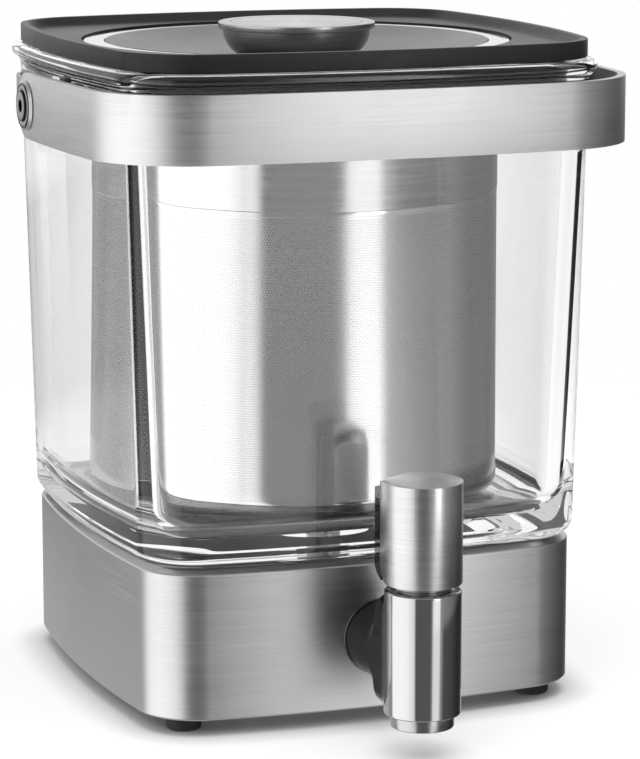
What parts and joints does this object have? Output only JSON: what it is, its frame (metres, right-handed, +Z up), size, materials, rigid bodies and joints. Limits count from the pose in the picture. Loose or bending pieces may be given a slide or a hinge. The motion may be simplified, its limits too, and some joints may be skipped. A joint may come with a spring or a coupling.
{
  "type": "cold brew coffee maker",
  "caption": "Square glass jar on a low steel base with a tap, a removable steel mesh steeper under a knobbed lid and a swinging carrying strap.",
  "frame": {"origin": "on the surface it stands on, under the middle of the whole from the tap's front to the jar's back", "axes": "+Z up, -Y towards the front with the tap, +X to the right as seen from the front"},
  "size_m": [0.1892, 0.211, 0.2186],
  "materials": {
    "brushed_steel": "fine straight grain, satin",
    "dark_steel": "darker satin",
    "polished_steel": "polished",
    "plain_steel": "turned",
    "etched_steel": "etched with fine holes",
    "black_plastic": "satin",
    "grey_plastic": "satin",
    "clear_glass": "clear",
    "black_rubber": "matt",
    "silicone": "milky"
  },
  "bodies": {
    "base_and_jar": {"base_shell": "brushed_steel", "tap_nozzle": "brushed_steel", "tap_bonnet": "dark_steel", "neck_band": "dark_steel", "tap_flange": "polished_steel", "tap_body": "polished_steel", "drain_fitting": "plain_steel", "drain_nut": "plain_steel", "hose_clip_rear": "plain_steel", "hose_clip_front": "plain_steel", "tap_shank": "plain_steel", "shank_nut": "plain_steel", "pivot_screw_left": "plain_steel", "pivot_screw_right": "plain_steel", "foot_screw_front_left": "plain_steel", "foot_screw_front_right": "plain_steel", "foot_screw_rear_left": "plain_steel", "foot_screw_rear_right": "plain_steel", "base_cover": "black_plastic", "pivot_boss_left": "black_plastic", "pivot_boss_right": "black_plastic", "base_frame": "grey_plastic", "drain_elbow": "grey_plastic", "glass_jar": "clear_glass", "shank_washer": "black_rubber", "foot_front_left": "black_rubber", "foot_front_right": "black_rubber", "foot_rear_left": "black_rubber", "foot_rear_right": "black_rubber", "seat_pad": "silicone", "drain_seal_upper": "silicone", "drain_seal_lower": "silicone", "drain_hose": "silicone", "pivot_washer_left": "silicone", "pivot_washer_right": "silicone"},
    "carry_handle": {"carry_handle": "brushed_steel", "pivot_cap_left": "dark_steel", "pivot_cap_right": "dark_steel"},
    "jar_lid": {"jar_lid": "black_plastic", "lid_seal": "black_rubber"},
    "steeper": {"steeper_collar": "brushed_steel", "steeper_mesh": "etched_steel", "steeper_base": "brushed_steel"},
    "steeper_lid": {"steeper_lid": "grey_plastic", "steeper_lid_ring": "polished_steel", "steeper_lid_seal": "black_rubber", "knob_body": "dark_steel", "knob_cap": "brushed_steel", "knob_screw": "plain_steel"},
    "tap_lever": {"lever_core": "polished_steel", "lever_sleeve": "brushed_steel"},
    "valve": {"valve_stem": "plain_steel", "seat_cup": "silicone", "lever_pin": "plain_steel", "valve_spring": "plain_steel"}
  },
  "joints": [
    {"name": "carry_handle_swing", "type": "hinge", "parent": "base_and_jar", "child": "carry_handle", "pos_m": [0, 0.0206, 0.19395], "axis": [-1, 0, 0], "range_deg": [0, 180]},
    {"name": "jar_lid_lift", "type": "slide", "parent": "base_and_jar", "child": "jar_lid", "axis": [0, 0, 1], "range_m": [0, 0.17]},
    {"name": "steeper_lift", "type": "slide", "parent": "jar_lid", "child": "steeper", "axis": [0, 0, 1], "range_m": [0, 0.17]},
    {"name": "steeper_lid_lift", "type": "slide", "parent": "steeper", "child": "steeper_lid", "axis": [0, 0, 1], "range_m": [0, 0.05]},
    {"name": "tap_lever_tilt", "type": "hinge", "parent": "base_and_jar", "child": "tap_lever", "pos_m": [0, -0.1019, 0.05505], "axis": [1, 0, 0], "range_deg": [0, 22], "stiffness_Nm_per_rad": 0.3, "springref_deg": -17.19},
    {"name": "valve_lift", "type": "slide", "parent": "base_and_jar", "child": "valve", "axis": [0, 0, 1], "range_m": [0, 0.00365], "deforming": ["valve_spring"]}
  ],
  "couplings": [
    {"joint": "valve_lift", "follows": "tap_lever_tilt", "m_per_rad": 0.009465}
  ]
}
